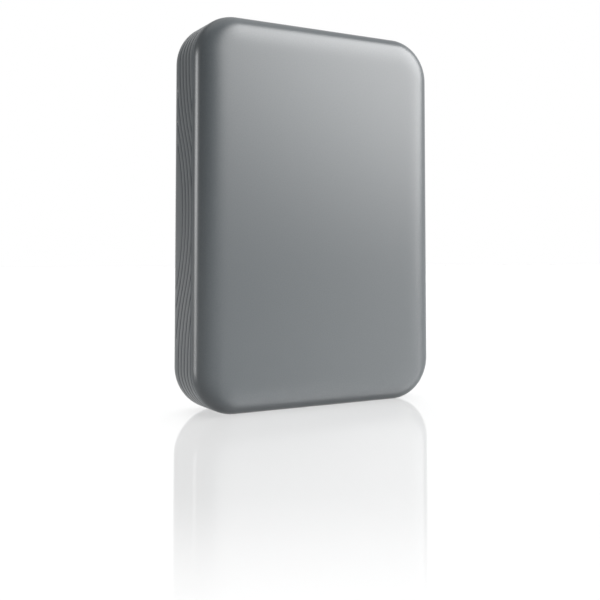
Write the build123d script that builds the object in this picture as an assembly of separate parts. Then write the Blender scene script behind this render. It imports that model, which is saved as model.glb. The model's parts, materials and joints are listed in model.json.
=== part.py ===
from build123d import *
import math
import os

# A portable hard drive standing on its short lower edge.
# X runs across the width, Y from the front face to the back, Z up the length.
# The origin is the middle of the footprint, on the surface it stands on.

# Case
case_width = 82.0
case_height = 116.0
case_depth = 21.0
corner_radius = 13.0
front_depth = 5.0
front_edge_depth = 4.6
front_edge_radius = 3.0
front_core_radius = 1.0
rear_edge_reach = 3.5
rear_edge_depth = 4.5
side_wall = 2.0
face_wall = 1.8
parting_gap = 0.4
tongue_depth = 2.0
tongue_fit = 0.1
snap_length = 8.0
snap_height = 0.3
snap_spread = 30.0

# Flowing ribs of the band: grooves cut round it, parallel to each other
rib_count = 7
rib_pitch = 2.4
rib_swing = 10.0
rib_depth = 0.3
rib_groove = 1.0
rib_margin = 0.4

# Drive mechanism: it fills the case but for its cushions and the room of the bridge board above it,
# which leaves the common two and a half inch size in its tall form
drive_height = 15.0
cushion_thickness = 4.075
end_cushion_thickness = 3.0
bridge_room = 8.65
cushion_length = 60.0
cushion_depth = 6.0
pad_width = 12.0
foil_thickness = 0.15
lid_thickness = 0.6
gasket_thickness = 0.3
gasket_width = 1.2
floor_thickness = 1.2
board_recess = 1.4
rail_width = 1.6
base_corner = 2.0
base_wall = 1.525
base_end_wall = 7.85
chamber_corner = 7.8

# Discs and spindle
disc_count = 4
disc_bore = 10.0
disc_thickness = 0.8
disc_pitch = 2.7
disc_headroom = 1.3
shroud_gap = 0.9
spacer_radius = 12.5
clamp_thickness = 0.6
shaft_radius = 2.2
bearing_clearance = 0.03
sleeve_radius = 3.2
boss_radius = 4.2

# Swinging arm
pivot_side_room = 21.4
pivot_disc_gap = 5.0
barrel_radius = 5.5
pivot_shaft_radius = 2.0
pivot_bearing_radius = 4.0
pivot_bearing_length = 2.6
arm_root = 5.0
arm_tip = 2.2
arm_rim = 1.6
suspension_reach = 13.0
head_offset = 4.37
tab_reach = 2.4
park_gap = 2.0
inner_track_radius = 15.0
outer_arm_thickness = 0.6
suspension_thickness = 0.12
slider_thickness = 0.18
fly_gap = 0.05
coil_inner = 8.0
coil_outer = 16.5
coil_half_angle = 20.0
coil_thickness = 1.8
coil_direction = 120.0
coil_gap = 0.7
magnet_thickness = 1.4
yoke_thickness = 1.6
yoke_outer = 19.0
yoke_inner_gap = 1.5
yoke_top_gap = 1.075
yoke_half_angle = 49.0
yoke_post_radius = 1.5

# Boards and sockets
board_thickness = 0.7
board_pad_thickness = 0.2
chip_height = 0.7
chip_clearance = 0.3
plug_x = -6.0
plug_width = 37.0
tongue_thickness = 1.23
bridge_thickness = 1.0
bridge_width = 57.0
bridge_height = 7.6
bridge_front_y = 1.0
usb_x = 16.0
usb_width = 8.94
usb_height = 3.26
usb_length = 7.3
usb_shell = 0.3
usb_setback = 0.4
usb_clearance = 0.15
port_recess = 0.5
port_recess_width = 21.0
port_recess_height = 6.0
light_x = 23.0
light_radius = 0.75

# Depths and heights that follow from the driving dimensions
mid_z = case_height / 2
front_y = -case_depth / 2
rear_y = case_depth / 2
parting_y = front_y + front_depth
lip_front_y = parting_y - parting_gap / 2
lip_rear_y = parting_y + parting_gap / 2
tongue_end_y = lip_rear_y + tongue_depth
front_edge_y = front_y + front_edge_depth
front_edge_reach = corner_radius - front_core_radius
front_inner_reach = front_edge_reach / 2
rear_edge_y = rear_y - rear_edge_depth
rib_end_y = rear_edge_y - rib_margin
inner_front_y = front_y + face_wall
inner_rear_y = rear_y - face_wall
inner_top_z = case_height - side_wall
long_run = case_height - 2 * corner_radius
short_run = case_width - 2 * corner_radius

# Each side of the case: its outward direction, the way along it, how far off its corners' axes lie, its run
case_sides = (
    (Vector(1, 0, 0), Vector(0, 0, 1), short_run / 2, long_run),
    (Vector(0, 0, 1), Vector(-1, 0, 0), long_run / 2, short_run),
    (Vector(-1, 0, 0), Vector(0, 0, -1), short_run / 2, long_run),
    (Vector(0, 0, -1), Vector(1, 0, 0), long_run / 2, short_run),
)

drive_width = case_width - 2 * (side_wall + cushion_thickness)
drive_z0 = side_wall + end_cushion_thickness
drive_z1 = case_height - side_wall - bridge_room
drive_length = drive_z1 - drive_z0
drive_mid_z = (drive_z0 + drive_z1) / 2
drive_front_y = -drive_height / 2
drive_rear_y = drive_height / 2
lid_in_y = drive_front_y + lid_thickness
rim_y = lid_in_y + gasket_thickness
base_back_y = drive_rear_y - board_recess
floor_y = base_back_y - floor_thickness
chamber_top_z = drive_z1 - base_end_wall
motor_room = pivot_disc_gap + yoke_outer + yoke_top_gap
room_across = drive_width / 2 - base_wall - shroud_gap
room_along = (chamber_top_z - drive_z0 - base_wall - shroud_gap - motor_room) / 2
disc_radius = min(room_across, room_along)
shroud_radius = disc_radius + shroud_gap
chamber_half = drive_width / 2 - base_wall
disc_z = drive_z0 + base_wall + shroud_radius

pack_front_y = lid_in_y + disc_headroom
pack_rear_y = pack_front_y + (disc_count - 1) * disc_pitch + disc_thickness
hub_flange_y = pack_rear_y + 0.7
head_stand = suspension_thickness + slider_thickness + fly_gap
arm_front_y = pack_front_y - head_stand - outer_arm_thickness
arm_rear_y = pack_rear_y + head_stand + outer_arm_thickness

pivot_x = pivot_side_room - chamber_half
pivot_rise = disc_radius + pivot_disc_gap
pivot_z = disc_z + pivot_rise
pivot_distance = math.hypot(pivot_x, pivot_rise)
head_radius = pivot_distance - head_offset
arm_length = head_radius - suspension_reach
park_radius = disc_radius + park_gap
towards_disc = math.degrees(math.atan2(-pivot_rise, -pivot_x))


def swing_at(radius):
    """Angle at the pivot between the spindle and the heads when they stand over this disc radius."""
    cosine = (pivot_distance**2 + head_radius**2 - radius**2) / (2 * pivot_distance * head_radius)
    return math.degrees(math.acos(cosine))


park_angle = towards_disc + swing_at(park_radius)
swing_range = swing_at(park_radius) - swing_at(inner_track_radius)
coil_park = coil_direction + swing_range / 2

yoke_rear_y = floor_y - yoke_thickness
magnet_rear_y = yoke_rear_y - magnet_thickness
coil_rear_y = magnet_rear_y - coil_gap
coil_front_y = coil_rear_y - coil_thickness
magnet_front_y = coil_front_y - coil_gap
yoke_front_y = magnet_front_y - magnet_thickness

board_front_y = base_back_y + board_pad_thickness
board_rear_y = board_front_y + board_thickness
bridge_rear_y = bridge_front_y + bridge_thickness
bridge_z0 = drive_z1 + 0.45
bridge_z1 = bridge_z0 + bridge_height
usb_y = bridge_front_y - usb_height / 2
usb_z1 = case_height - port_recess - usb_setback
usb_z0 = usb_z1 - usb_length


def slab(profile, y_from, y_to):
    """A flat profile, drawn as width by height, made solid between two depths."""
    return extrude(Plane.XZ.offset(-y_to) * profile, y_to - y_from)


def column(profile, z_from, z_to):
    """A flat profile, drawn as width by depth, made solid between two heights."""
    return extrude(Plane.XY.offset(z_from) * profile, z_to - z_from)


def plate(width, height, radius=0.0, x=0.0, z=0.0):
    """A rectangle in the width by height view, with rounded corners where a radius is given."""
    if radius > 0:
        return Pos(x, z) * RectangleRounded(width, height, radius)
    return Pos(x, z) * Rectangle(width, height)


def disc(radius, bore=0.0, x=0.0, z=0.0):
    """A circle or ring in the width by height view."""
    shape = Circle(radius)
    if bore > 0:
        shape -= Circle(bore)
    return Pos(x, z) * shape


def sector(inner, outer, middle, half):
    """Part of a flat ring about the origin, half degrees to each side of the middle direction."""
    arcs = [CenterArc((0, 0), radius, middle - half, 2 * half) for radius in (inner, outer)]
    sides = [Line(arcs[0] @ end, arcs[1] @ end) for end in (0, 1)]
    return make_face(arcs + sides)


def at_pivot(profile, turn=0.0):
    """A profile drawn about the arm's pivot, turned and put in its place."""
    return Pos(pivot_x, pivot_z) * Rot(0, 0, turn) * profile


def group(solids):
    """Separate solids that share one node."""
    return Compound(children=[part for solid in solids for part in solid.solids()])


def outline(inset):
    """The case's front view, moved in from its outer surface."""
    return plate(case_width - 2 * inset, case_height - 2 * inset, corner_radius - inset, 0, mid_z)


def carried_round(section, radius):
    """A section, drawn outwards and back from an outline with this corner radius, carried round the case."""
    solids = []
    for normal, along, reach, run in case_sides:
        middle = normal * reach + Vector(0, 0, mid_z)
        first, last = middle - along * (run / 2), middle + along * (run / 2)
        solids.append(extrude(Plane(first + normal * radius, x_dir=normal, z_dir=along) * section, run))
        profile = Plane(last + normal * radius, x_dir=normal, z_dir=along) * section
        solids.append(revolve(profile, Axis(last, (0, -1, 0)), 90))
    return solids


def rolled_face(inset, reach, y_edge, y_face, side_radius=0.0):
    """The end of a block with the case's outline, its edge rolling over to the face.

    The roll is a quarter ellipse or, where a side radius is given, that arc and a wider one tangent to it.
    """
    depth = abs(y_face - y_edge)
    if side_radius > 0:
        face_radius = (reach**2 - 2 * reach * side_radius + depth**2) / (2 * (depth - side_radius))
        meeting = math.degrees(math.atan2(face_radius - depth, reach - side_radius))
        side_arc = CenterArc((reach - side_radius, 0), side_radius, 0, meeting)
        roll = [side_arc, CenterArc((0, depth - face_radius), face_radius, meeting, 90 - meeting)]
    else:
        roll = [EllipticalCenterArc((0, 0), reach, depth, start_angle=0, arc_size=90)]
    section = make_face([Polyline((reach, 0), (0, 0), (0, depth))] + roll)
    if y_face < y_edge:
        section = mirror(section, Plane.XZ)
    core = slab(outline(inset + reach), min(y_edge, y_face), max(y_edge, y_face))
    return core + carried_round(Pos(0, y_edge) * section, corner_radius - inset - reach)


def groove(number):
    """The wedges that cut one groove: level round the corners, swinging forward and back along each side."""
    corners = ((-rib_depth, 0), (rib_depth, rib_groove), (rib_depth, -rib_groove))
    wedge = make_face(Polyline(*corners, close=True))
    home = Vector(0, parting_y + rib_pitch * number, mid_z)
    forward = Vector(0, -1, 0)
    wedges = []
    for normal, along, reach, run in case_sides:
        quarter = run / 4
        swing = rib_swing * run / long_run
        radius = (quarter**2 + (swing / 2) ** 2) / swing
        opening = 2 * math.degrees(math.atan2(swing / 2, quarter))
        surface = home + normal * (reach + corner_radius)
        arcs = (
            (surface - along * (2 * quarter) + forward * radius, -forward, -opening, opening),
            (surface + forward * (swing - radius), forward, -opening, 2 * opening),
            (surface + along * (2 * quarter) + forward * radius, -forward, 0, opening),
        )
        for centre, spoke, turn, sweep_angle in arcs:
            axis = Axis(centre, forward.cross(along))
            profile = Plane(centre + spoke * radius, x_dir=normal, z_dir=normal.cross(spoke)) * wedge
            wedges.append(revolve(profile.rotate(axis, turn), axis, sweep_angle))
        last = home + normal * reach + along * (run / 2)
        profile = Plane(last + normal * corner_radius, x_dir=normal, z_dir=along) * wedge
        wedges.append(revolve(profile, Axis(last, (0, -1, 0)), 90))
    return wedges


def snap_beads(extra):
    """Beads along the tongue's long sides that click into pockets in the rear cover."""
    beads = []
    for side in (-1, 1):
        face_x = side * (case_width / 2 - side_wall / 2 - tongue_fit)
        for step in (-1, 0, 1):
            bead = Box(2 * snap_height + 2 * extra, 0.8 + 2 * extra, snap_length + 2 * extra)
            middle_y = (lip_rear_y + tongue_end_y) / 2
            beads.append(Pos(face_x, middle_y, mid_z + step * snap_spread) * bead)
    return beads


def screw(x, z, y_seat, direction, cap_radius, cap_height, shank_radius, shank_length):
    """A low-headed screw. The head stands on y_seat towards the direction, the shank goes the other way."""
    y_top = y_seat + direction * cap_height
    y_tip = y_seat - direction * shank_length
    cap = slab(disc(cap_radius, 0, x, z), min(y_seat, y_top), max(y_seat, y_top))
    shank = slab(disc(shank_radius, 0, x, z), min(y_seat, y_tip), max(y_seat, y_tip))
    return cap + shank


# Front cover: a thin pillowed lid with a tongue round its edge that plugs into the rear cover
front_cover = slab(outline(0), front_edge_y, lip_front_y)
front_cover += rolled_face(0, front_edge_reach, front_edge_y, front_y, front_edge_radius)
front_cover += slab(outline(side_wall / 2 + tongue_fit), lip_front_y, tongue_end_y)
front_cover += snap_beads(0)
front_cover -= slab(outline(side_wall), front_edge_y, tongue_end_y)
front_cover -= rolled_face(side_wall, front_inner_reach, front_edge_y, inner_front_y)

# Rear cover: the tub that makes the ribbed band and the back, with the socket's opening in its upper edge
rear_cover = slab(outline(0), lip_rear_y, rib_end_y)
rear_cover -= [wedge for number in range(1, rib_count + 1) for wedge in groove(number)]
rear_cover += slab(outline(0), rib_end_y, rear_edge_y)
rear_cover += rolled_face(0, rear_edge_reach, rear_edge_y, rear_y)
rear_cover -= slab(outline(side_wall), lip_rear_y, rear_edge_y)
rear_cover -= rolled_face(side_wall, rear_edge_reach - side_wall, rear_edge_y, inner_rear_y)
rear_cover -= slab(outline(side_wall / 2), lip_rear_y, tongue_end_y)
rear_cover -= snap_beads(tongue_fit)
stop_rib = Box(1.6, 4.0, inner_top_z - drive_z1 - 0.15, align=(Align.CENTER, Align.MAX, Align.MAX))
for side in (-1, 1):
    rear_cover += Pos(side * (drive_width / 2 - 3.4), inner_rear_y + 0.3, inner_top_z) * stop_rib
port_middle = (usb_x + light_x) / 2 - 1
port_panel = Pos(port_middle, usb_y) * SlotOverall(port_recess_width, port_recess_height)
port_hole = Pos(usb_x, usb_y) * SlotOverall(usb_width + 2 * usb_clearance, usb_height + 2 * usb_clearance)
light_hole = Pos(light_x, usb_y) * Circle(light_radius)
rear_cover -= column(port_panel, case_height - port_recess, case_height + 1)
rear_cover -= column(port_hole + light_hole, inner_top_z - 1, case_height)

# Cushions and pads that hold the drive off the case
side_gap = case_width / 2 - side_wall - drive_width / 2
cushion_form = fillet(Box(side_gap, cushion_depth, cushion_length).edges().filter_by(Axis.X), 1.5)
cushions = {}
for name, side in (("left_cushion", -1), ("right_cushion", 1)):
    cushions[name] = Pos(side * (drive_width / 2 + side_gap / 2), 0, drive_mid_z) * cushion_form
end_cushion = column(Rectangle(short_run - 8, cushion_depth), side_wall, drive_z0)
end_cushion = fillet(end_cushion.edges().filter_by(Axis.Z), 1.5)


def pads(y_from, y_to):
    """Two foam strips side by side, up the drive's length."""
    strips = []
    for side in (-1, 1):
        strip = plate(pad_width, cushion_length, 0, side * (drive_width / 4 + 2), drive_mid_z)
        strips.append(slab(strip, y_from, y_to))
    return group(strips)


front_pads = pads(inner_front_y, drive_front_y)
rear_pads = pads(drive_rear_y + foil_thickness, inner_rear_y)
foil_profile = plate(drive_width, drive_length - 8, 0, 0, drive_mid_z - 3)
shield_foil = slab(foil_profile, drive_rear_y, drive_rear_y + foil_thickness)

# Drive base: a cast tub, with the disc chamber in front and the circuit board's recess behind
chamber = disc(shroud_radius, 0, 0, disc_z)
chamber_bottom_z = disc_z
chamber_length = chamber_top_z - chamber_bottom_z
chamber_mid_z = chamber_bottom_z + chamber_length / 2
chamber += plate(2 * chamber_half, chamber_length, chamber_corner, 0, chamber_mid_z)
chamber += plate(2 * chamber_half, chamber_length - 2 * chamber_corner, 0, 0, chamber_mid_z - chamber_corner)
base = slab(plate(drive_width, drive_length, base_corner, 0, drive_mid_z), rim_y, drive_rear_y)
base -= slab(chamber, rim_y, floor_y)
recess_z0 = drive_z0 + 4
recess = plate(drive_width - 2 * rail_width, drive_z1 - recess_z0, 0, 0, (drive_z1 + recess_z0) / 2)
base -= slab(recess, base_back_y, drive_rear_y)
notch_depth = 6.2
notch = plate(plug_width + 1.4, notch_depth, 0, plug_x, drive_z1 - notch_depth / 2)
base -= slab(notch, bridge_rear_y - 0.3, drive_rear_y)
stator_seat_y = floor_y - 2.4
base += slab(disc(boss_radius, 0, 0, disc_z), pack_front_y + 4.4, floor_y)
base += slab(disc(boss_radius + 1, 0, 0, disc_z), stator_seat_y, floor_y)
base -= slab(disc(sleeve_radius, 0, 0, disc_z), pack_front_y, base_back_y - 0.4)
base += slab(disc(pivot_shaft_radius + 1.2, 0, pivot_x, pivot_z), floor_y - 0.3, floor_y)
base -= slab(disc(pivot_shaft_radius, 0, pivot_x, pivot_z), rim_y, floor_y + 0.8)
lid_screw_x = drive_width / 2 - 2.6
lid_screw_spots = [
    (side * lid_screw_x, z) for side in (-1, 1) for z in (drive_z0 + 2.6, drive_z1 - 2.6)
] + [(0, drive_z1 - 2.6)]
for x, z in lid_screw_spots:
    base -= slab(disc(0.8, 0, x, z), rim_y, rim_y + 2.6)
side_holes = [drive_z0 + 14.0, drive_z0 + 90.6]
for z in side_holes:
    for side in (-1, 1):
        hole = Cylinder(1.25, 6.0, rotation=(0, 90, 0))
        base -= Pos(side * drive_width / 2, drive_rear_y - 3.0, z) * hole

# Drive lid, its gasket and its screws
lid_outline = plate(drive_width - 0.6, drive_length - 0.6, base_corner, 0, drive_mid_z)
lid = slab(lid_outline, drive_front_y, lid_in_y)
lid_step = disc(disc_radius - 5.5, spacer_radius + 2.5, 0, disc_z)
lid -= slab(lid_step, drive_front_y, drive_front_y + 0.25)
lid -= slab(disc(pivot_shaft_radius + 2, 0, pivot_x, pivot_z), drive_front_y, drive_front_y + 0.25)
for x, z in lid_screw_spots:
    lid -= slab(disc(0.85, 0, x, z), drive_front_y, lid_in_y)
gasket = slab(offset(chamber, gasket_width) - chamber, lid_in_y, rim_y)
gasket &= slab(plate(drive_width - 0.6, drive_length, 0, 0, drive_mid_z), lid_in_y, rim_y)
lid_screws = group([screw(x, z, drive_front_y, -1, 1.6, 0.4, 0.8, 3.4) for x, z in lid_screw_spots])

# Spindle: a sleeve in the base, and a hub that spins in it and carries the discs
spindle_sleeve = slab(
    disc(sleeve_radius, shaft_radius + bearing_clearance, 0, disc_z), pack_front_y + 4.0, base_back_y - 0.4
)
hub_front_y = pack_front_y + 0.3
hub = slab(disc(disc_bore, 0, 0, disc_z), hub_front_y, hub_flange_y)
hub += slab(disc(spacer_radius, 0, 0, disc_z), pack_rear_y, hub_flange_y)
hub_cave_y = hub_front_y + 2.4
hub -= slab(disc(disc_bore - 1.2, 0, 0, disc_z), hub_cave_y, hub_flange_y)
hub += slab(disc(shaft_radius, 0, 0, disc_z), hub_cave_y, floor_y + 0.4)
hub -= slab(disc(1.0, 0, 0, disc_z), hub_front_y, hub_front_y + 3.2)
magnet_bore = disc_bore - 2.0
hub_magnet = slab(disc(disc_bore - 1.2, magnet_bore, 0, disc_z), hub_cave_y + 1.6, hub_flange_y - 0.8)
stator_front_y = stator_seat_y - 2.0
pole_count = 9
stator_profile = Circle(boss_radius + 0.9) - Circle(boss_radius)
for number in range(pole_count):
    turn = Rot(0, 0, 360 / pole_count * number)
    stator_profile += turn * Pos(boss_radius + 1.6, 0) * Rectangle(2.6, 0.8)
    stator_profile += turn * sector(magnet_bore - 1.0, magnet_bore - 0.4, 0, 15)
stator_core = slab(Pos(0, disc_z) * stator_profile, stator_front_y, stator_seat_y)
windings = []
for number in range(pole_count):
    spot = Pos(0, disc_z) * Rot(0, 0, 360 / pole_count * number) * Pos(boss_radius + 1.8, 0)
    coil_block = slab(spot * Rectangle(1.4, 1.8), stator_front_y - 0.5, stator_seat_y + 0.5)
    windings.append(coil_block - slab(spot * Rectangle(1.6, 0.8), stator_front_y, stator_seat_y))
stator_windings = group(windings)

discs = {}
spacers = {}
for number in range(disc_count):
    face_y = pack_front_y + number * disc_pitch
    platter = slab(disc(disc_radius, disc_bore, 0, disc_z), face_y, face_y + disc_thickness)
    discs[f"disc_{number + 1}"] = platter
    if number + 1 < disc_count:
        ring = disc(spacer_radius, disc_bore, 0, disc_z)
        spacers[f"spacer_{number + 1}"] = slab(ring, face_y + disc_thickness, face_y + disc_pitch)
clamp_y = pack_front_y - clamp_thickness
disc_clamp = slab(disc(spacer_radius, 1.1, 0, disc_z), clamp_y, pack_front_y)
disc_clamp -= slab(disc(8.6, 5.6, 0, disc_z), clamp_y, clamp_y + 0.25)
clamp_screw = screw(0, disc_z, clamp_y, -1, 2.2, 0.5, 1.0, 3.4)

# Arm: a barrel with one arm in each gap of the disc pack, and a tail that holds the voice coil
arm_levels = [(arm_front_y, arm_front_y + outer_arm_thickness)]
for number in range(disc_count - 1):
    gap_front = pack_front_y + number * disc_pitch + disc_thickness
    arm_levels.append((gap_front + head_stand, gap_front + disc_pitch - disc_thickness - head_stand))
arm_levels.append((arm_rear_y - outer_arm_thickness, arm_rear_y))


def arm_blade(x_from, x_to, margin):
    """The tapered outline of an arm between two distances from the pivot, moved in by a margin."""
    near, far = (arm_root + (arm_tip - arm_root) * x / arm_length - margin for x in (x_from, x_to))
    return make_face(Polyline((x_from, near), (x_to, far), (x_to, -far), (x_from, -near), close=True))


arm_profile = arm_blade(0, arm_length, 0)
arm_profile -= arm_blade(barrel_radius + 3.0, arm_length - 4.5, arm_rim)
arm_profile -= Circle(barrel_radius - 0.5)
tail_turn = coil_park - park_angle
tail = sector(barrel_radius - 0.5, coil_inner, tail_turn, coil_half_angle)
actuator = slab(at_pivot(disc(barrel_radius)), arm_front_y, arm_rear_y)
for y_from, y_to in arm_levels:
    actuator += slab(at_pivot(arm_profile, park_angle), y_from, y_to)
actuator += slab(at_pivot(tail, park_angle), coil_front_y, coil_rear_y)
actuator -= slab(at_pivot(disc(pivot_bearing_radius + bearing_clearance)), arm_front_y, arm_rear_y)
coil_profile = sector(coil_inner, coil_outer, tail_turn, coil_half_angle)
coil_profile -= sector(coil_inner + 2.6, coil_outer - 2.6, tail_turn, coil_half_angle - 12)
voice_coil = slab(at_pivot(coil_profile, park_angle), coil_front_y, coil_rear_y)

tab_end = head_radius + tab_reach
suspension_points = ((arm_length - 4, 1.9), (head_radius - 1, 0.9), (head_radius + 1, 0.4), (tab_end, 0.3))
suspension_edge = Polyline(*suspension_points)
suspension_sides = [suspension_edge, mirror(suspension_edge, Plane.XZ)]
suspension_ends = [Line(suspension_sides[0] @ end, suspension_sides[1] @ end) for end in (0, 1)]
suspension_profile = make_face(suspension_sides + suspension_ends)
slider_profile = Pos(head_radius - 0.6, 0) * Rectangle(1.2, 1.0)
suspensions = []
sliders = []
tab_levels = []
for level, (y_from, y_to) in enumerate(arm_levels):
    if level > 0:
        tab_levels.append(y_from - suspension_thickness)
        slider_y = tab_levels[-1] - slider_thickness
        sliders.append(slab(at_pivot(slider_profile, park_angle), slider_y, tab_levels[-1]))
    if level < disc_count:
        tab_levels.append(y_to)
        slider_y = y_to + suspension_thickness
        sliders.append(slab(at_pivot(slider_profile, park_angle), slider_y, slider_y + slider_thickness))
for y_from in tab_levels:
    blade = at_pivot(suspension_profile, park_angle)
    suspensions.append(slab(blade, y_from, y_from + suspension_thickness))
head_suspensions = group(suspensions)
head_sliders = group(sliders)

# Pivot: a shaft standing in the base, with a bearing at each end of the barrel
pivot_shaft = slab(at_pivot(disc(pivot_shaft_radius)), lid_in_y, floor_y + 0.8)
bearing_profile = at_pivot(disc(pivot_bearing_radius, pivot_shaft_radius))
pivot_front_bearing = slab(bearing_profile, arm_front_y + 0.3, arm_front_y + 0.3 + pivot_bearing_length)
pivot_rear_bearing = slab(bearing_profile, arm_rear_y - 0.3 - pivot_bearing_length, arm_rear_y - 0.3)

# Voice coil motor: two steel plates with a magnet each, held apart by posts
yoke = sector(barrel_radius + yoke_inner_gap, yoke_outer, coil_direction, yoke_half_angle)
magnet = sector(coil_inner + 0.6, coil_outer + 0.3, coil_direction, yoke_half_angle - 16)
rear_yoke = slab(at_pivot(yoke), yoke_rear_y, floor_y)
front_yoke = slab(at_pivot(yoke), yoke_front_y - yoke_thickness, yoke_front_y)
rear_magnet = slab(at_pivot(magnet), magnet_rear_y, yoke_rear_y)
front_magnet = slab(at_pivot(magnet), yoke_front_y, magnet_front_y)
post_angle = math.degrees(math.asin(yoke_post_radius / (yoke_outer - yoke_post_radius)))
posts = []
for side in (-1, 1):
    turn = coil_direction + side * (yoke_half_angle - post_angle)
    spot = at_pivot(Pos(yoke_outer - yoke_post_radius, 0) * Circle(yoke_post_radius), turn)
    posts.append(slab(spot, yoke_front_y, yoke_rear_y))
yoke_posts = group(posts)

# Parking ramp beside the discs: a comb with a slot for each head's lift tab
ramp_clearance = 0.1
ramp_reach = 5.0
ramp_half_angle = 6.0
ramp_profile = at_pivot(sector(head_radius + 0.9, head_radius + ramp_reach, park_angle, ramp_half_angle))
ramp_profile -= disc(disc_radius + 0.5, 0, 0, disc_z)
ramp_front_y = arm_front_y + 0.1
parking_ramp = slab(ramp_profile, ramp_front_y, floor_y)
ramp_slot = at_pivot(sector(head_radius + 0.5, head_radius + tab_reach + 0.5, park_angle - 2.5, 5.5))
for y_from in tab_levels:
    parking_ramp -= slab(ramp_slot, y_from - ramp_clearance, y_from + suspension_thickness + ramp_clearance)

# Air filter block and the arm's flat cable with its connector, on the chamber's floor
connector_width = 14.0
connector_height = 7.0
filter_width = 6.0
filter_height = 9.0
connector_x = pivot_x + 22
connector_z = chamber_top_z - 7
connector_profile = plate(connector_width, connector_height, 0, connector_x, connector_z)
flex_connector = slab(connector_profile, floor_y - 2.4, floor_y)
filter_x = chamber_half - 1.5 - filter_width / 2
filter_z = connector_z - connector_height / 2 - 1 - filter_height / 2
air_filter = slab(plate(filter_width, filter_height, 0, filter_x, filter_z), floor_y - 6, floor_y)
flex_start = (connector_x - 5, connector_z - connector_height / 2)
flex_end = (pivot_x + barrel_radius + 1.2, pivot_z + 3.2)
flex_turn = ((flex_start[0] + flex_end[0]) / 2 + 1.5, (flex_start[1] + flex_end[1]) / 2 - 1.5)
flex_strip = trace(ThreePointArc(flex_start, flex_turn, flex_end), 0.2)
flex_cable = slab(flex_strip, floor_y - 3.6, floor_y - 1.0)

# Circuit board in the drive's back, its chips in pockets of the base, and the drive's plug
board_z0 = disc_z + 12
board_z1 = drive_z1 - 1.2
board_width = drive_width - 2 * rail_width - 0.6
board_profile = plate(board_width, board_z1 - board_z0, 0, 0, (board_z0 + board_z1) / 2)
board_screw_spots = [
    (side * (board_width / 2 - 3), z) for side in (-1, 1) for z in (board_z0 + 3, board_z1 - 8)
]
controller_board = slab(board_profile, board_front_y, board_rear_y)
board_pad = slab(board_profile, base_back_y, board_front_y)
board_pad -= slab(notch, base_back_y, board_front_y)
for x, z in board_screw_spots:
    controller_board -= slab(disc(0.8, 0, x, z), board_front_y, board_rear_y)
    board_pad -= slab(disc(0.8, 0, x, z), base_back_y, board_front_y)
    base -= slab(disc(0.8, 0, x, z), floor_y + 0.5, base_back_y)
board_screws = group([screw(x, z, board_rear_y, 1, 1.6, 0.4, 0.8, 1.5) for x, z in board_screw_spots])
chip_layout = {
    "main_chip": (10.0, 10.0, 14.0, 22.0),
    "memory_chip": (8.0, 6.0, -4.0, 27.0),
    "motor_chip": (6.0, 6.0, -18.0, 14.0),
}
chips = {}
for name, (width, height, x, rise) in chip_layout.items():
    z = board_z0 + rise
    chips[name] = slab(plate(width, height, 0, x, z), board_front_y - chip_height, board_front_y)
    pocket = plate(width + 2 * chip_clearance, height + 2 * chip_clearance, 0, x, z)
    base -= slab(pocket, board_front_y - chip_height - 0.1, base_back_y)
    board_pad -= slab(pocket, base_back_y, board_front_y)

plug_back_z = drive_z1 - notch_depth + 0.3
plug_face_z = plug_back_z + 2.2
plug_end_z = drive_z1 - 0.2
plug_front_y = bridge_rear_y + 0.1
plug_middle_y = (plug_front_y + board_front_y) / 2
guide_width = 2.2


def on_plug(width, depth, x=0.0, y=0.0):
    """A rectangle seen along the plug's direction, measured from the plug's middle."""
    return Pos(plug_x + x, plug_middle_y + y) * Rectangle(width, depth)


plug_depth = board_front_y - plug_front_y
plug_blades = [(10.4, -8.6), (20.6, 8.2)]
drive_plug = column(on_plug(plug_width, plug_depth), plug_back_z, plug_face_z)
for side in (-1, 1):
    guide = on_plug(guide_width, plug_depth, side * (plug_width - guide_width) / 2)
    drive_plug += column(guide, plug_face_z, plug_end_z)
for width, x in plug_blades:
    drive_plug += column(on_plug(width, tongue_thickness, x), plug_face_z, plug_end_z)

# Bridge board at the drive's upper end: the mating socket, the round-ended port, its chip and the light
socket_width = plug_width - 2 * guide_width - 0.4
socket_top_z = bridge_z0 + 4.0
bridge_socket = column(
    on_plug(socket_width, plug_depth + 0.1, 0, -0.05), plug_face_z, socket_top_z
)
for width, x in plug_blades:
    slot = on_plug(width + 0.2, tongue_thickness + 0.2, x)
    bridge_socket -= column(slot, plug_face_z, plug_end_z + 0.3)
bridge_profile = plate(bridge_width, bridge_height, 0, -1, (bridge_z0 + bridge_z1) / 2)
bridge_board = slab(bridge_profile, bridge_front_y, bridge_rear_y)
bridge_chip = slab(plate(5, 5, 0, -8, bridge_z0 + 3.8), bridge_front_y - 0.9, bridge_front_y)
crystal = slab(plate(3.2, 2.5, 0, 2, bridge_z0 + 3.8), bridge_front_y - 0.8, bridge_front_y)
capacitor_xs = [-26, -23, -20, -17, 6]
capacitors = group(
    [slab(plate(1.0, 1.8, 0, x, bridge_z0 + 3.8), bridge_front_y - 0.9, bridge_front_y) for x in capacitor_xs]
)
usb_inside = (usb_width - 2 * usb_shell, usb_height - 2 * usb_shell)
usb_outer = Pos(usb_x, usb_y) * SlotOverall(usb_width, usb_height)
usb_inner = Pos(usb_x, usb_y) * SlotOverall(*usb_inside)
port_shell = column(usb_outer - usb_inner, usb_z0, usb_z1)
port_insert = column(usb_inner, usb_z0, usb_z0 + 1.8)
port_insert += column(Pos(usb_x, usb_y) * Rectangle(6.7, 0.7), usb_z0 + 1.8, usb_z1 - 0.6)
light_z = bridge_z1 - 0.6
lamp_reach = bridge_front_y - usb_y + 0.4
lamp_profile = Pos(light_x, bridge_front_y - lamp_reach / 2) * Rectangle(1.6, lamp_reach)
status_light = column(lamp_profile, light_z - 1, light_z)
light_pipe = column(Pos(light_x, usb_y) * Circle(light_radius), light_z, case_height - port_recess)

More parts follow.
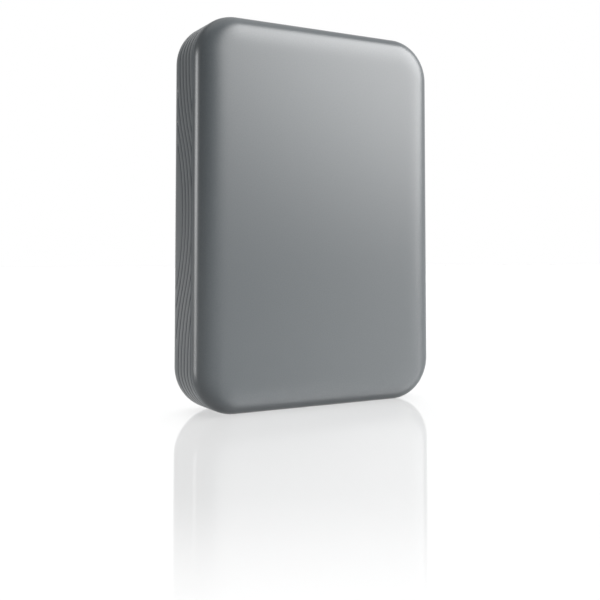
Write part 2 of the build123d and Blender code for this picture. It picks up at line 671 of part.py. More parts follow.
# Each piece is written under its node's name
pieces = {
    "front_cover": front_cover,
    "rear_cover": rear_cover,
    "end_cushion": end_cushion,
    "front_pads": front_pads,
    "rear_pads": rear_pads,
    "shield_foil": shield_foil,
    "drive_base": base,
    "drive_lid": lid,
    "lid_gasket": gasket,
    "lid_screws": lid_screws,
    "spindle_sleeve": spindle_sleeve,
    "spindle_hub": hub,
    "hub_magnet": hub_magnet,
    "stator_core": stator_core,
    "stator_windings": stator_windings,
    "disc_clamp": disc_clamp,
    "clamp_screw": clamp_screw,
    "actuator_arm": actuator,
    "voice_coil": voice_coil,
    "head_suspensions": head_suspensions,
    "head_sliders": head_sliders,
    "pivot_shaft": pivot_shaft,
    "pivot_front_bearing": pivot_front_bearing,
    "pivot_rear_bearing": pivot_rear_bearing,
    "rear_yoke": rear_yoke,
    "front_yoke": front_yoke,
    "rear_magnet": rear_magnet,
    "front_magnet": front_magnet,
    "yoke_posts": yoke_posts,
    "parking_ramp": parking_ramp,
    "air_filter": air_filter,
    "flex_connector": flex_connector,
    "flex_cable": flex_cable,
    "controller_board": controller_board,
    "board_pad": board_pad,
    "board_screws": board_screws,
    "drive_plug": drive_plug,
    "bridge_socket": bridge_socket,
    "bridge_board": bridge_board,
    "bridge_chip": bridge_chip,
    "crystal": crystal,
    "capacitors": capacitors,
    "port_shell": port_shell,
    "port_insert": port_insert,
    "status_light": status_light,
    "light_pipe": light_pipe,
    **cushions,
    **discs,
    **spacers,
    **chips,
}
os.makedirs("parts", exist_ok=True)
for name, shape in pieces.items():
    export_step(shape, f"parts/{name}.step")
print(f"arm swings {swing_range:.2f} degrees about x {pivot_x:.3f}, z {pivot_z:.3f}")
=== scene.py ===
# %% [markdown]
# # A portable hard drive, dressed for a studio picture
# The drive stands upright on its short edge. Its solids come ready made and fixed in place.
# This lesson models the two covers again with finer surfaces, gives every piece its finish,
# and then sets up the floor, the lamps and the camera.

import json
import math

import bmesh
import bpy
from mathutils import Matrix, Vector


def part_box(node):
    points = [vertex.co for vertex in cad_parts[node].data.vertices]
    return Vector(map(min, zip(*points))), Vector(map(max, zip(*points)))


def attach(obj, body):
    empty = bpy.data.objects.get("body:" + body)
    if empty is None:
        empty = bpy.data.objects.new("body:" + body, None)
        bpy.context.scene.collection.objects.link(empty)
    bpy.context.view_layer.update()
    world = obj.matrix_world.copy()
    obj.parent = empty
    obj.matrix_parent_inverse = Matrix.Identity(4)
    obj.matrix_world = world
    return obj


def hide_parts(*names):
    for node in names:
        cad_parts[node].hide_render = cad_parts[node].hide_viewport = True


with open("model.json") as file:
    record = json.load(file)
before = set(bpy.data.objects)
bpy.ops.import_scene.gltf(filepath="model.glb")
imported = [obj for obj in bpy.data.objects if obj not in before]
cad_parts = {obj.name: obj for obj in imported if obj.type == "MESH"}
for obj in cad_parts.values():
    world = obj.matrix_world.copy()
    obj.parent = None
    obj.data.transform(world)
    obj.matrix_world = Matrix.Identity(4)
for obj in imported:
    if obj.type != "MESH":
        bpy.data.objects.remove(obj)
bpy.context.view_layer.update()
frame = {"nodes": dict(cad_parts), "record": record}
print("solids:", len(frame["nodes"]))

# %% [markdown]
# ## Measures of the case
# A finer copy of a cover must keep the size of the solid that it stands for. The sizes could all be
# typed in, but then they would drift apart, so the large ones are read from the solids. Only the
# small forms of the moulding are written here, in millimetres turned to metres.

# %% Sizes read from the solids, and the moulding's own sizes
MM = 0.001
front_low, front_high = (Vector(corner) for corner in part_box("front_cover"))
rear_low, rear_high = (Vector(corner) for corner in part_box("rear_cover"))
case_width = rear_high.x - rear_low.x
case_height = rear_high.z - rear_low.z
mid_z = (rear_high.z + rear_low.z) / 2
front_y, rear_y = front_low.y, rear_high.y
tongue_end_y = front_high.y
rear_lip_y = rear_low.y
parting_gap = 0.4 * MM
front_lip_y = rear_lip_y - parting_gap
corner_radius = 13.0 * MM
front_reach, front_roll = corner_radius - 1.0 * MM, 4.6 * MM
PILLOW_POWER = 4.5
rear_reach, rear_roll = 3.5 * MM, 4.5 * MM
side_wall, face_wall = 2.0 * MM, 1.8 * MM
tongue_outer = side_wall / 2 + 0.1 * MM
half_x = case_width / 2 - corner_radius
half_z = case_height / 2 - corner_radius
print("case in mm:", [round(size / MM, 2) for size in (case_width, rear_y - front_y, case_height)])

# %% [markdown]
# ## Working in edit mode
# An operator acts on everything that is selected, and the solids come in selected. So each new
# piece starts from an empty selection, and every later choice drops the one before. Three small
# helpers keep that in one place.


# %% Helpers for selecting and editing
SAME_PLACE = 1e-7


def start_clean():
    """Leave edit mode and select nothing."""
    if bpy.context.object and bpy.context.object.mode != "OBJECT":
        bpy.ops.object.mode_set(mode="OBJECT")
    bpy.ops.object.select_all(action="DESELECT")


def choose(piece, kind, test):
    """In edit mode, select only the verts, edges or faces of the piece that pass the test."""
    bpy.ops.mesh.select_mode(type={"verts": "VERT", "edges": "EDGE", "faces": "FACE"}[kind])
    bpy.ops.mesh.select_all(action="DESELECT")
    mesh = bmesh.from_edit_mesh(piece.data)
    for element in getattr(mesh, kind):
        element.select = test(element)
    mesh.select_flush_mode()
    bmesh.update_edit_mesh(piece.data)


def choose_loop(piece, y):
    """Select the edges that lie at depth y."""
    choose(piece, "edges", lambda edge: all(abs(vert.co.y - y) < SAME_PLACE for vert in edge.verts))


print("helpers ready: start_clean, choose, choose_loop")

# %% [markdown]
# ## The outline of the case
# Both covers share one outline, a rectangle with round corners. A curve could draw it, but a plane
# is easier to edit later: its corners are bevelled and its straight sides cut into short edges,
# fine enough for the ribs that follow. Then the face goes, and a closed loop of edges is left to
# extrude.


# %% Start a cover from its outline
def outline_loop(name, y, long_cuts, short_cuts, corner_cuts):
    """A new piece in edit mode that holds the case's outline at depth y, with its loop selected."""
    start_clean()
    bpy.ops.mesh.primitive_plane_add(size=1, location=(0, y, mid_z), rotation=(math.pi / 2, 0, 0))
    piece = bpy.context.object
    piece.name = name
    piece.scale = (case_width, case_height, 1)
    bpy.ops.object.transform_apply(location=True, rotation=True, scale=True)
    bpy.ops.object.mode_set(mode="EDIT")
    bpy.ops.mesh.select_all(action="SELECT")
    bpy.ops.mesh.bevel(affect="VERTICES", offset=corner_radius, segments=corner_cuts, profile=0.5)
    bpy.ops.mesh.select_mode(type="FACE")
    bpy.ops.mesh.select_all(action="SELECT")
    bpy.ops.mesh.delete(type="ONLY_FACE")
    for limit, cuts in ((half_z * 2, long_cuts), (half_x * 2, short_cuts)):
        choose(piece, "edges", lambda edge: abs(edge.calc_length() - limit) < 0.01 * MM)
        bpy.ops.mesh.subdivide(number_cuts=cuts)
    bpy.ops.mesh.select_all(action="SELECT")
    return piece


print("straight runs in mm:", round(2 * half_x / MM, 2), "and", round(2 * half_z / MM, 2))

# %% [markdown]
# ## Rings
# A moulded cover is a chain of rings: each one is the outline, moved in by some amount and set at
# some depth. Scaling a ring would spoil its corners, so after each extrusion the new points are
# set at an even distance from the case's outer surface instead.


# %% Extrude the selected loop to its next place
def foot_of(x, z):
    """The point of the inner rectangle from which the outline's corner or side is drawn."""
    return Vector((max(-half_x, min(half_x, x)), 0, mid_z + max(-half_z, min(half_z, z - mid_z))))


def next_ring(piece, inset, y):
    """Extrude the selected loop, then set it in from the outline by inset and at depth y."""
    bpy.ops.mesh.extrude_region_move()
    mesh = bmesh.from_edit_mesh(piece.data)
    for vert in mesh.verts:
        if vert.select:
            foot = foot_of(vert.co.x, vert.co.z)
            outward = (Vector((vert.co.x, 0, vert.co.z)) - foot).normalized()
            place = foot + outward * (corner_radius - inset)
            vert.co = (place.x, y, place.z)
    bmesh.update_edit_mesh(piece.data)


def roll_over(piece, inset, y_edge, direction, points):
    """Rings along a rolled edge, from the side wall over to a face in front (-1) or behind (1)."""
    for inwards, along in points:
        next_ring(piece, inset + inwards, y_edge + direction * along)


print("corner radius in mm:", round(corner_radius / MM, 2))

# %% [markdown]
# ## Rolled edges
# Where a side turns into a face, the moulding is rounded. The rear edge is a quarter of an ellipse.
# The front one is fuller: it starts round at the side and dies out slowly towards the face, so that
# no line shows where it ends. A bevel knows no such curve, so both are written as lists of points.


# %% Points along a rolled edge
def quarter_ellipse(reach, depth, steps):
    """Points of a rolled edge, each as its way in from the side and its way towards the face."""
    turns = [step / steps * math.pi / 2 for step in range(1, steps + 1)]
    return [(reach * (1 - math.cos(turn)), depth * math.sin(turn)) for turn in turns]


def pillow_roll(reach, depth, steps):
    """The same for a roll that is round at the side and dies out slowly towards the face."""
    turns = [step / steps * math.pi / 2 for step in range(1, steps + 1)]
    return [
        (reach * (1 - math.cos(turn)), depth * math.sqrt(1 - math.cos(turn) ** PILLOW_POWER))
        for turn in turns
    ]


print("front roll in mm:", [round(size / MM, 2) for size in (front_reach, front_roll)])

# %% [markdown]
# ## Closing and finishing a piece
# The last ring of a cover is closed with one flat face. Then doubled points are merged, the faces
# are turned outwards, and the piece is shaded smooth except at edges sharper than a given angle.

# %% Close a loop and finish a mesh
MERGE_DISTANCE = 0.002 * MM
SMOOTH_ANGLE = math.radians(35)


def cap(piece):
    """Close the selected loop with one flat face."""
    bpy.ops.mesh.edge_face_add()
    bpy.ops.mesh.select_all(action="DESELECT")


def finish_mesh(piece):
    """Merge doubles, turn the faces outwards, leave edit mode and shade the piece smooth."""
    bpy.ops.mesh.select_mode(type="VERT")
    bpy.ops.mesh.select_all(action="SELECT")
    bpy.ops.mesh.remove_doubles(threshold=MERGE_DISTANCE)
    bpy.ops.mesh.normals_make_consistent(inside=False)
    bpy.ops.object.mode_set(mode="OBJECT")
    bpy.ops.object.shade_smooth_by_angle(angle=SMOOTH_ANGLE)
    print(piece.name, "faces:", len(piece.data.polygons))


# %% [markdown]
# ## The front cover
# The front of the drive is a smooth moulded pillow: a short lip at the parting line, then one soft
# roll that ends in the flat face. A scaled and bevelled cube would be quicker, but its edge would
# end in a visible ring. The lip's edge is broken by a hair, as a mould breaks it, so that it can
# catch the light. Inside, a tongue reaches into the other cover.

# %% Model the front cover
EDGE_BREAK = 0.12 * MM
BREAK_MIDDLE = 0.3 * EDGE_BREAK
front_edge_y = front_y + front_roll
front_rim_y = front_lip_y - EDGE_BREAK
front_shell = outline_loop("front_shell", front_rim_y, long_cuts=40, short_cuts=26, corner_cuts=20)
next_ring(front_shell, 0, front_edge_y)
roll_over(front_shell, 0, front_edge_y, -1, pillow_roll(front_reach, front_roll, 40))
next_ring(front_shell, front_reach + 0.5 * MM, front_y)
cap(front_shell)
choose_loop(front_shell, front_rim_y)
next_ring(front_shell, BREAK_MIDDLE, front_lip_y - BREAK_MIDDLE)
next_ring(front_shell, EDGE_BREAK, front_lip_y)
next_ring(front_shell, tongue_outer, front_lip_y)
next_ring(front_shell, tongue_outer, tongue_end_y)
next_ring(front_shell, side_wall, tongue_end_y)
next_ring(front_shell, side_wall, front_edge_y)
front_inner_roll = quarter_ellipse(front_reach / 2, front_roll - face_wall, 6)
roll_over(front_shell, side_wall, front_edge_y, -1, front_inner_roll)
cap(front_shell)
finish_mesh(front_shell)
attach(front_shell, "case")
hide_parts("front_cover")

# %% [markdown]
# ## The flowing ribs
# Round the band run broad ribs with narrow valleys between them. The valleys go level round the
# corners and swing forward along each side, in four equal arcs, so that one after the other runs
# out at the parting line. A bump in the material would look flat at the edge of the drive, so the
# ribs are real. Rows of points that follow the valleys keep their edges crisp.

# %% The ribs' measures and their rows
RIB_COUNT = 7
RIB_PITCH = 2.4 * MM
RIB_SWING = 10.0 * MM
RIB_BOW = 0.06 * MM
RIB_MARGIN = 0.4 * MM
VALLEY_DEPTH = 0.36 * MM
VALLEY_HALF = 0.34 * MM
parting_y = rear_lip_y - parting_gap / 2
rear_edge_y = rear_y - rear_roll
rows_of_rib = [0, VALLEY_HALF / 2, VALLEY_HALF, RIB_PITCH / 4, RIB_PITCH / 2]
rows_of_rib += [RIB_PITCH - row for row in (RIB_PITCH / 4, VALLEY_HALF, VALLEY_HALF / 2)]
rib_span = math.ceil((rear_edge_y - parting_y + RIB_SWING) / RIB_PITCH)
rib_rows = [rib * RIB_PITCH + row for rib in range(rib_span) for row in rows_of_rib]
print("rows of points in the band:", len(rib_rows))


# %% Where a valley lies and how deep it is
def swing_at(x, z):
    """How far forward the valleys lie at this place on the outline."""
    run, along = (2 * half_z, z - mid_z) if abs(z - mid_z) < half_z else (2 * half_x, x)
    from_end = run / 2 - abs(along)
    if from_end <= 0:
        return 0
    swing = RIB_SWING * run / (2 * half_z)
    quarter = run / 4
    radius = (quarter**2 + (swing / 2) ** 2) / swing
    if from_end < quarter:
        return radius - math.sqrt(radius**2 - from_end**2)
    return swing - radius + math.sqrt(radius**2 - along**2)


def valley_depth(x, y, z):
    """How far the band's surface lies behind the ribs' crests at this point."""
    ribs = (y - parting_y + swing_at(x, z)) / RIB_PITCH
    if ribs > RIB_COUNT + 0.5:
        return 0
    bow = RIB_BOW * (1 - abs(math.sin(math.pi * ribs)))
    nearest = round(ribs)
    off = abs(ribs - nearest) * RIB_PITCH
    valley = VALLEY_DEPTH * max(0, 1 - off / VALLEY_HALF) if nearest > 0 else 0
    return min(1, (rear_edge_y - y) / RIB_MARGIN) * (bow + valley)


print("swing half way up a side in mm:", round(swing_at(case_width / 2, mid_z) / MM, 2))

# %% [markdown]
# ## The rear cover
# The tub starts at its lip, runs back along the band, rolls over and ends in a flat back. The rows
# of the band first slide to their valleys, and those that would pass an edge stop there and are
# merged. Then each point is pressed in. The inner wall comes last, so it stays plain.

# %% Model the ribbed band
rear_rim_y = rear_lip_y + EDGE_BREAK
rear_shell = outline_loop("rear_shell", rear_rim_y, long_cuts=176, short_cuts=100, corner_cuts=24)
next_ring(rear_shell, 0, rear_edge_y)
choose(rear_shell, "edges", lambda edge: abs(edge.verts[0].co.y - edge.verts[1].co.y) > 1 * MM)
bpy.ops.mesh.subdivide(number_cuts=len(rib_rows))
row_step = (rear_edge_y - rear_rim_y) / (len(rib_rows) + 1)
mesh = bmesh.from_edit_mesh(rear_shell.data)
for vert in mesh.verts:
    x, y, z = vert.co
    row = round((y - rear_rim_y) / row_step)
    if 0 < row <= len(rib_rows):
        y = min(rear_edge_y, max(rear_rim_y, parting_y + rib_rows[row - 1] - swing_at(x, z)))
    inward = (foot_of(x, z) - Vector((x, 0, z))).normalized()
    vert.co = Vector((x, y, z)) + inward * valley_depth(x, y, z)
bmesh.update_edit_mesh(rear_shell.data)
bpy.ops.mesh.select_all(action="SELECT")
bpy.ops.mesh.remove_doubles(threshold=MERGE_DISTANCE)
print("points in the band:", len(bmesh.from_edit_mesh(rear_shell.data).verts))

# %% Close the tub behind and give it its inner wall
choose_loop(rear_shell, rear_edge_y)
roll_over(rear_shell, 0, rear_edge_y, 1, quarter_ellipse(rear_reach, rear_roll, 20))
next_ring(rear_shell, rear_reach + 1.5 * MM, rear_y)
cap(rear_shell)
choose_loop(rear_shell, rear_rim_y)
next_ring(rear_shell, RIB_BOW + VALLEY_DEPTH + EDGE_BREAK, rear_lip_y)
next_ring(rear_shell, side_wall / 2, rear_lip_y)
next_ring(rear_shell, side_wall / 2, tongue_end_y)
next_ring(rear_shell, side_wall, tongue_end_y)
next_ring(rear_shell, side_wall, rear_edge_y)
rear_inner_roll = quarter_ellipse(rear_reach - side_wall, rear_roll - face_wall, 6)
roll_over(rear_shell, side_wall, rear_edge_y, 1, rear_inner_roll)
cap(rear_shell)
finish_mesh(rear_shell)

# %% [markdown]
# ## The port's opening
# The upper edge holds a shallow round-ended panel with the port's opening and a small hole for the
# light. They could be drawn into the outline, but a cutter is easier to place: cylinders are pulled
# apart to the right length and taken out of the cover with Boolean modifiers.


# %% Helpers for cutting
def round_ended_cutter(name, middle, width, height, z_low, z_high):
    """An upright block with half-round ends: a cylinder pulled apart along X."""
    start_clean()
    spot = (middle.x, middle.y, (z_low + z_high) / 2)
    bpy.ops.mesh.primitive_cylinder_add(
        vertices=48, radius=height / 2, depth=z_high - z_low, location=spot
    )
    cutter = bpy.context.object
    cutter.name = name
    bpy.ops.object.transform_apply(location=True, rotation=True, scale=True)
    bpy.ops.object.mode_set(mode="EDIT")
    for side in (-1, 1):
        choose(cutter, "verts", lambda vert: (vert.co.x - middle.x) * side > 0.001 * MM)
        bpy.ops.transform.translate(value=(side * (width - height) / 2, 0, 0))
    bpy.ops.object.mode_set(mode="OBJECT")
    return cutter


def cut(piece, cutter):
    """Take the cutter out of the piece and throw the cutter away."""
    start_clean()
    bpy.context.view_layer.objects.active = piece
    piece.select_set(True)
    taking = piece.modifiers.new("opening", "BOOLEAN")
    taking.operation = "DIFFERENCE"
    taking.object = cutter
    taking.solver = "EXACT"
    bpy.ops.object.modifier_apply(modifier=taking.name)
    bpy.data.objects.remove(cutter)


port_low, port_high = (Vector(corner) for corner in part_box("port_shell"))
light_low, light_high = (Vector(corner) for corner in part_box("light_pipe"))
print("port in mm:", [round(size / MM, 2) for size in port_high - port_low])

# %% Cut the panel, the opening and the light's hole
PANEL_WIDTH, PANEL_HEIGHT = 21 * MM, 6 * MM
PORT_GAP, LIGHT_GAP = 0.15 * MM, 0.01 * MM
CLEAR = 1 * MM
port_middle = (port_low + port_high) / 2
light_middle = (light_low + light_high) / 2
panel_middle = (port_middle + light_middle) / 2 - Vector((1 * MM, 0, 0))
panel_floor = light_high.z
top_z = rear_high.z
inner_top = top_z - side_wall - CLEAR
port_width = port_high.x - port_low.x + 2 * PORT_GAP
port_height = port_high.y - port_low.y + 2 * PORT_GAP
light_width = light_high.x - light_low.x + 2 * LIGHT_GAP
for cutter in (
    ("panel", panel_middle, PANEL_WIDTH, PANEL_HEIGHT, panel_floor, top_z + CLEAR),
    ("opening", port_middle, port_width, port_height, inner_top, top_z + CLEAR),
    ("light", light_middle, light_width, light_width, inner_top, top_z),
):
    cut(rear_shell, round_ended_cutter(*cutter))
bpy.ops.object.shade_smooth_by_angle(angle=SMOOTH_ANGLE)
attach(rear_shell, "case")
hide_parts("rear_cover")
print("rear cover faces with its openings:", len(rear_shell.data.polygons))

# %% [markdown]
# ## Colours and nodes
# Colours are written as people pick them on a screen and turned to the linear values that the
# renderer works with. One small function adds a node, sets it up and links it.


# %% Helpers for colours and nodes
def linear(colour):
    """A screen colour such as 7f868a as linear red, green, blue and full alpha."""
    values = [int(colour[place : place + 2], 16) / 255 for place in (0, 2, 4)]
    return tuple(v / 12.92 if v < 0.04045 else ((v + 0.055) / 1.055) ** 2.4 for v in values) + (1,)


def add_node(tree, kind, settings=None, values=None, links=None):
    """Add a node, set its properties and socket values, and link its inputs from other outputs."""
    node = tree.nodes.new(kind)
    for key, value in (settings or {}).items():
        setattr(node, key, value)
    for key, value in (values or {}).items():
        node.inputs[key].default_value = value
    for key, output in (links or {}).items():
        tree.links.new(output, node.inputs[key])
    return node


print("mid grey in linear light:", round(linear("808080")[0], 3))

# %% [markdown]
# ## One recipe for a surface
# No real surface has one even tone. A fine noise drifts between two near tones and, where the piece
# is cast, brushed or woven, also lifts the surface a little. Stretching the noise along one way
# turns it into the grain of rolled, turned or brushed metal. Its size is given in millimetres.


# %% A material with a fine grain
def surface(name, light, dark, grain_mm, roughness, relief_mm=0.0, stretch=(1, 1, 1), **sockets):
    """A material whose colour drifts between two near tones, with a fine relief where one is given."""
    material = bpy.data.materials.new(name)
    material.use_nodes = True
    tree = material.node_tree
    shader = tree.nodes["Principled BSDF"]
    place = add_node(tree, "ShaderNodeTexCoord")
    spread = add_node(
        tree, "ShaderNodeMapping", values={"Scale": stretch}, links={"Vector": place.outputs["Object"]}
    )
    grain = add_node(
        tree,
        "ShaderNodeTexNoise",
        values={"Scale": 1 / (grain_mm * MM), "Detail": 3.0},
        links={"Vector": spread.outputs["Vector"]},
    )
    tone = add_node(tree, "ShaderNodeValToRGB", links={"Fac": grain.outputs["Fac"]})
    low, high = tone.color_ramp.elements
    low.position, high.position = 0.35, 0.65
    low.color, high.color = linear(dark), linear(light)
    tree.links.new(tone.outputs["Color"], shader.inputs["Base Color"])
    shader.inputs["Roughness"].default_value = roughness
    for socket, value in sockets.items():
        shader.inputs[socket.replace("_", " ")].default_value = value
    if relief_mm:
        bump = add_node(
            tree,
            "ShaderNodeBump",
            values={"Strength": 1.0, "Distance": relief_mm * MM},
            links={"Height": grain.outputs["Fac"]},
        )
        tree.links.new(bump.outputs["Normal"], shader.inputs["Normal"])
    return material


# %% [markdown]
# ## The case's plastic
# The covers are moulded ABS in a cool grey. The mould is finely eroded, which gives a satin surface:
# it spreads a lamp's reflection into a soft sheen, with a grain that only shows close up.

# %% Satin ABS
# An eroded mould's grain is nearer a tenth of a millimetre; it is drawn coarser so that it shows.
ABS_GRAIN, ABS_IOR = 0.35, 1.58
case_abs = surface("satin_moulded_abs", "4d5255", "484d50", ABS_GRAIN, 0.33, 0.002, IOR=ABS_IOR)
for piece in (front_shell, rear_shell):
    piece.data.materials.clear()
    piece.data.materials.append(case_abs)
print("case finish:", case_abs.name)

# %% [markdown]
# ## Rubber, foam and plastics inside
# The mechanism hangs in rubber and foam, and its small plastic pieces are moulded. All of these
# spread light, so they differ mostly in tone and in how rough they are. Each row gives the finish's
# light and dark tone, its grain in millimetres, its roughness and its relief.

# %% Finishes that spread light
inside = {
    # Soft rubber drinks light; the gasket is a little smoother.
    "cushion_rubber": surface("moulded_rubber", "232425", "1b1c1d", 0.6, 0.72, 0.01),
    "gasket_rubber": surface("black_elastomer", "1e1f20", "151617", 0.4, 0.7, 0.005),
    # Foam and fleece have open pores and no sheen at all.
    "pad_foam": surface("closed_cell_foam", "3a3b3d", "2a2b2d", 0.5, 0.95, 0.05),
    "filter_fleece": surface("white_fleece", "efefea", "d8d8d2", 0.3, 0.95, 0.06),
    # Acetal lets a little light in and looks waxy.
    "ramp_plastic": surface("natural_acetal", "e8e5da", "dcd9cd", 0.8, 0.45, Subsurface_Weight=0.1),
    # Glass filled nylon is dull black, and a chip's resin is duller still.
    "connector_plastic": surface("black_glass_filled_nylon", "202124", "17181a", 0.4, 0.5, 0.004),
    "chip_resin": surface("black_moulding_compound", "26272a", "1d1e20", 0.2, 0.6, 0.004),
    # Solder mask and polyimide film are smooth coats with a wet sheen.
    "board_resin": surface("green_solder_mask", "1f5a45", "174a38", 0.8, 0.3, 0.01),
    "flex_film": surface("amber_polyimide_film", "b0702a", "95591c", 0.6, 0.25),
    # Fired and ground ceramics are hard and faintly bright.
    "slider_ceramic": surface("ground_dark_ceramic", "35363a", "28292c", 0.1, 0.3),
    "capacitor_ceramic": surface("tan_ceramic", "a9865d", "97754e", 0.2, 0.5),
    # The lens is clear with a smooth face; the lamp behind it is milky.
    "light_lens": surface("clear_moulded_lens", "f2f5f6", "e9edef", 1.0, 0.15, Transmission_Weight=0.7),
    "light_resin": surface("pale_lamp_resin", "efe9d2", "e4dcc0", 0.4, 0.35),
    # Coated steel sheets show as fine layers.
    "stator_steel": surface("coated_laminations", "55665f", "3f4f48", 0.3, 0.5, 0.003, (1, 4, 1)),
}
print("finishes that spread light:", len(inside))

# %% [markdown]
# ## Metals inside
# A metal has no colour of its own under the shine, so the tone tints its reflection, and roughness
# tells how it was made: polished, plated, turned, brushed or cast. The stretch gives the way of
# the grain, such as the way a sheet was rolled or brushed.


# %% Finishes that mirror
def metal(name, light, dark, grain_mm, roughness, relief_mm=0.0, stretch=(1, 1, 1)):
    """A surface that mirrors with its own tint."""
    return surface(name, light, dark, grain_mm, roughness, relief_mm, stretch, Metallic=1.0)


along_x, along_y, along_z = (0.1, 1, 1), (1, 0.1, 1), (1, 1, 0.1)
metals = {
    # Foil is rolled bright, with faint lines along its length.
    "shield_aluminium": metal(
        "rolled_aluminium_foil", "d9dbdc", "c8cacc", 0.4, 0.28, 0.003, (1, 1, 0.05)
    ),
    # Cast metal is dull and even; machined and turned metal carries the lines of its tool.
    "cast_aluminium": metal("die_cast_aluminium", "b9bbbd", "a5a8aa", 0.5, 0.45, 0.008),
    "arm_aluminium": metal("machined_aluminium", "c4c6c8", "b0b3b5", 0.3, 0.33, 0.002, along_x),
    "spacer_aluminium": metal("turned_aluminium", "d2d4d5", "bfc2c4", 0.25, 0.3, 0.002, along_y),
    "turned_steel": metal("turned_steel", "c6c7c9", "b2b4b6", 0.25, 0.3, 0.002, along_y),
    # Brushing draws long lines across a sheet.
    "lid_steel": metal("brushed_steel_sheet", "c9cbcc", "b3b6b8", 0.3, 0.32, 0.003, (0.04, 1, 1)),
    # Spring steel and stamped cans are smooth from rolling.
    "suspension_steel": metal("thin_spring_steel", "cbccce", "b9babc", 0.2, 0.25, 0.001, along_x),
    "can_steel": metal("stamped_plated_steel", "cbccce", "b8babc", 0.3, 0.22, 0.002, along_z),
    # Zinc plating is dark and a little cloudy, nickel warm and bright.
    "screw_steel": metal("dark_zinc_plating", "6d6e70", "58595b", 0.3, 0.35, 0.002),
    "magnet_nickel": metal("nickel_plated_magnet", "bdbab2", "aba89f", 0.4, 0.25, 0.002),
    "yoke_nickel": metal("nickel_plated_steel", "b4b1a8", "a19e95", 0.4, 0.3, 0.003),
    # A disc is polished until it mirrors like glass.
    "disc_coating": metal("polished_disc_coating", "cfd1d2", "c9cbcd", 6.0, 0.05),
    # Wound copper wire glows red under its clear enamel.
    "winding_copper": metal(
        "enamelled_copper_wire", "c9733d", "a4532a", 0.15, 0.3, 0.01, (1, 1, 0.2)
    ),
}
inside.update(metals)
print("metals:", len(metals))

# %% [markdown]
# ## Giving the solids their finishes
# Each solid that came with the frame names the finish that it wants, and gets it in its first slot.

# %% Dress the solids
for subpart in frame["record"]["subparts"]:
    node = frame["nodes"][subpart["node"]]
    node.data.materials.clear()
    node.data.materials.append(inside.get(subpart["material_slot"], case_abs))

# %% [markdown]
# ## The floor
# The drive stands on a white gloss sheet. It shows a faint mirror image that fades with the distance
# from the drive, and it keeps the drive's soft shadow. A mix of a matt and a mirror shader gives
# both. For light that bounces on to the drive the sheet counts as grey, so that it doesn't light
# the drive from below.

# %% The white gloss sheet
GLOSS_NEAR, GLOSS_FAR = 100 * MM, 180 * MM
GLOSS_SHARE = 0.27
TOWARDS_VIEWER = (-0.5, -0.87, 0.0)
start_clean()
bpy.ops.mesh.primitive_plane_add(size=6, location=(0, 0, 0))
floor = bpy.context.object
floor.name = "floor"
sheet = bpy.data.materials.new("white_gloss_sheet")
sheet.use_nodes = True
tree = sheet.node_tree
tree.nodes.clear()
ray = add_node(tree, "ShaderNodeLightPath")
tone = add_node(
    tree,
    "ShaderNodeMix",
    {"data_type": "RGBA"},
    values={"A": linear("e2e2e2"), "B": linear("646464")},
    links={"Factor": ray.outputs["Is Diffuse Ray"]},
)
matt = add_node(tree, "ShaderNodeBsdfDiffuse", links={"Color": tone.outputs["Result"]})
mirror = add_node(tree, "ShaderNodeBsdfGlossy", values={"Color": linear("ffffff"), "Roughness": 0.05})
place = add_node(tree, "ShaderNodeTexCoord")
in_front = add_node(
    tree,
    "ShaderNodeVectorMath",
    {"operation": "DOT_PRODUCT"},
    values={1: TOWARDS_VIEWER},
    links={0: place.outputs["Object"]},
)
distance = add_node(
    tree, "ShaderNodeMath", {"operation": "ABSOLUTE"}, links={0: in_front.outputs["Value"]}
)
gloss = add_node(
    tree,
    "ShaderNodeMapRange",
    {"interpolation_type": "SMOOTHSTEP"},
    values={"From Min": GLOSS_NEAR, "From Max": GLOSS_FAR, "To Min": GLOSS_SHARE, "To Max": 0.0},
    links={"Value": distance.outputs[0]},
)
paper = add_node(
    tree,
    "ShaderNodeMixShader",
    links={0: gloss.outputs["Result"], 1: matt.outputs[0], 2: mirror.outputs[0]},
)
add_node(tree, "ShaderNodeOutputMaterial", links={"Surface": paper.outputs[0]})
floor.data.materials.append(sheet)
print("floor finish:", sheet.name)

# %% [markdown]
# ## The room
# The background is plain white, for the camera and through clear pieces. What the drive mirrors
# fades to grey on the left, which darkens that side of the satin plastic as in the picture. As a
# light, the room gives only a little, so that the lamps model the form.

# %% The white room
WHITE_SIDE = (0.8, 0.5, -0.25)
GREY_SIDE_SHARE = 0.25
AMBIENT = 0.06
world = bpy.data.worlds.new("white_room")
bpy.context.scene.world = world
world.use_nodes = True
tree = world.node_tree
tree.nodes.clear()
ray = add_node(tree, "ShaderNodeLightPath")
seen = add_node(
    tree,
    "ShaderNodeMath",
    {"operation": "MAXIMUM"},
    links={0: ray.outputs["Is Camera Ray"], 1: ray.outputs["Is Transmission Ray"]},
)
facing = add_node(tree, "ShaderNodeTexCoord")
towards_white = add_node(
    tree,
    "ShaderNodeVectorMath",
    {"operation": "DOT_PRODUCT"},
    values={1: WHITE_SIDE},
    links={0: facing.outputs["Generated"]},
)
fading = add_node(
    tree,
    "ShaderNodeMapRange",
    {"interpolation_type": "SMOOTHSTEP"},
    values={"From Min": -0.1, "From Max": 0.6, "To Min": GREY_SIDE_SHARE, "To Max": 1.0},
    links={"Value": towards_white.outputs["Value"]},
)
mirrored = add_node(
    tree,
    "ShaderNodeMath",
    {"operation": "MULTIPLY"},
    links={0: ray.outputs["Is Glossy Ray"], 1: fading.outputs["Result"]},
)
seen_or_mirrored = add_node(
    tree, "ShaderNodeMath", {"operation": "MAXIMUM"}, links={0: seen.outputs[0], 1: mirrored.outputs[0]}
)
ambient = add_node(
    tree, "ShaderNodeBackground", values={"Color": linear("ffffff"), "Strength": AMBIENT}
)
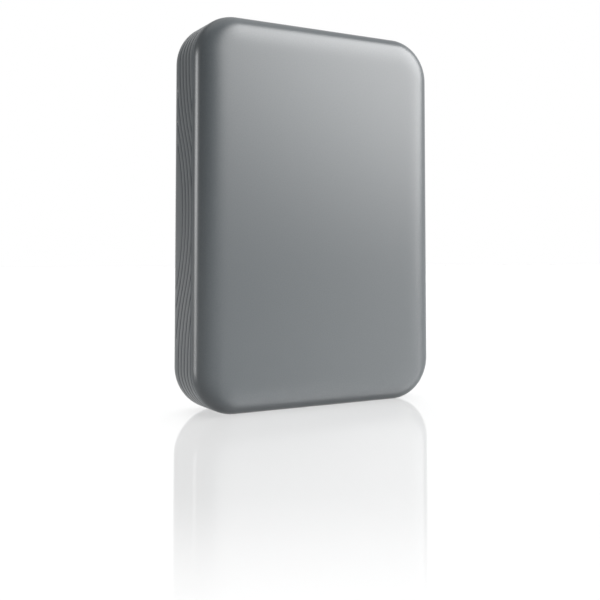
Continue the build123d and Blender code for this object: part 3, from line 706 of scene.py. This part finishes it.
white = add_node(tree, "ShaderNodeBackground", values={"Color": linear("ffffff"), "Strength": 1.0})
either = add_node(
    tree,
    "ShaderNodeMixShader",
    links={0: seen_or_mirrored.outputs[0], 1: ambient.outputs[0], 2: white.outputs[0]},
)
add_node(tree, "ShaderNodeOutputWorld", links={"Surface": either.outputs[0]})
print("room:", world.name)

# %% [markdown]
# ## Lamps
# A wide key lamp above and to the right lights the face, strongest at its upper right corner. A
# narrower one on the left gives the lip its bright line. One behind lifts the back, and the ceiling
# lamp alone casts a shadow, the soft one under the drive. Far lamps are used instead of area lamps,
# because their light is even over the whole sheet.


# %% Lamps
def distant_lamp(name, turn, height, width, strength, shadow=False, mirrored=True):
    """A far lamp: its turn to the right of the front, its height and its width are in degrees."""
    start_clean()
    turn, height = math.radians(turn), math.radians(height)
    level = math.cos(height)
    towards = Vector((level * math.sin(turn), -level * math.cos(turn), math.sin(height)))
    bpy.ops.object.light_add(type="SUN", location=middle + towards)
    lamp = bpy.context.object
    lamp.name = name
    lamp.rotation_euler = towards.to_track_quat("Z", "Y").to_euler()
    lamp.data.energy = strength
    lamp.data.angle = math.radians(width)
    lamp.data.use_shadow = shadow
    lamp.visible_glossy = mirrored
    print("lamp:", name, strength)


middle = Vector((0, 0, mid_z))
distant_lamp("key_lamp", turn=46.5, height=27, width=50, strength=5.7)
distant_lamp("left_lamp", turn=-102, height=6, width=26, strength=1.6)
distant_lamp("back_lamp", turn=150, height=30, width=60, strength=1.5, mirrored=False)
distant_lamp("ceiling", turn=0, height=90, width=60, strength=0.66, shadow=True)

# %% [markdown]
# ## Camera
# The camera stands to the left of the drive and a little below its middle. Distance, turn and
# lens follow from how strongly the edges run together in the picture, and the shift from where the
# drive stands in the frame.

# %% The camera's place
CAMERA_TURN = math.radians(29.68)
CAMERA_TILT = math.radians(-2.54)
CAMERA_DISTANCE = 0.275
PIXELS = 600
FOCAL_PIXELS = 875.3
CENTRE_PIXEL = (306.71, 216.68)
level = math.cos(CAMERA_TILT)
away = Vector((-level * math.sin(CAMERA_TURN), -level * math.cos(CAMERA_TURN), math.sin(CAMERA_TILT)))
start_clean()
bpy.ops.object.camera_add(location=middle + away * CAMERA_DISTANCE)
camera = bpy.context.object
camera.rotation_euler = (-away).to_track_quat("-Z", "Y").to_euler()
camera.data.sensor_width = 36
camera.data.lens = FOCAL_PIXELS / PIXELS * camera.data.sensor_width
camera.data.shift_x = -(CENTRE_PIXEL[0] - PIXELS / 2) / PIXELS
camera.data.shift_y = -(PIXELS / 2 - CENTRE_PIXEL[1]) / PIXELS
camera.data.clip_start = 0.01
bpy.context.scene.camera = camera
bpy.context.scene.view_settings.view_transform = "Standard"
print("lens in mm:", round(camera.data.lens, 2))
